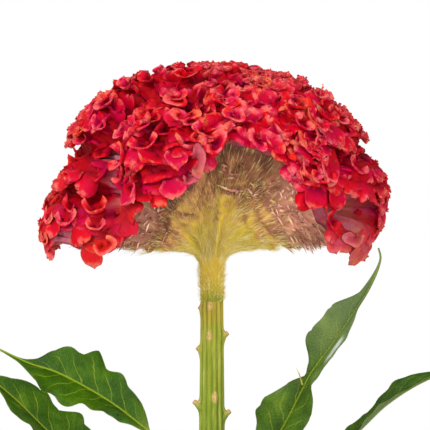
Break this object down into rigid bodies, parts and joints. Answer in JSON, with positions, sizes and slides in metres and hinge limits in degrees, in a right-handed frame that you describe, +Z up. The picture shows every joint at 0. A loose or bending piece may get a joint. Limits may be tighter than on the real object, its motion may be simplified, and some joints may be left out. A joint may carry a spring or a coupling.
{
  "type": "potted cockscomb celosia",
  "caption": "Flowering plant in a plain round clay pot: a domed, ruffled crest on a hairy fan-shaped top of a ribbed leafy stem.",
  "frame": {"origin": "middle of the pot's foot, on the surface that it stands on", "axes": "+Z up along the stem, +X to the right along the crest's long way, -Y towards the viewer, the crest's front"},
  "size_m": [0.2184, 0.1827, 0.3127],
  "materials": {
    "terracotta": "matte, unglazed",
    "soil": "matte, crumbly",
    "stem": "satin, ribbed",
    "fan": "silky, hairy",
    "crest": "velvety",
    "leaf": "satin"
  },
  "bodies": {
    "root": {"pot": "terracotta", "soil": "soil", "stem": "stem", "fan": "fan", "crest": "crest", "leaf_1": "leaf", "leaf_2": "leaf", "leaf_3": "leaf", "leaf_4": "leaf", "leaf_5": "leaf", "leaf_6": "leaf", "leaf_7": "leaf", "leaf_8": "leaf", "leaf_9": "leaf", "leaf_10": "leaf", "leaf_11": "leaf"}
  },
  "joints": []
}
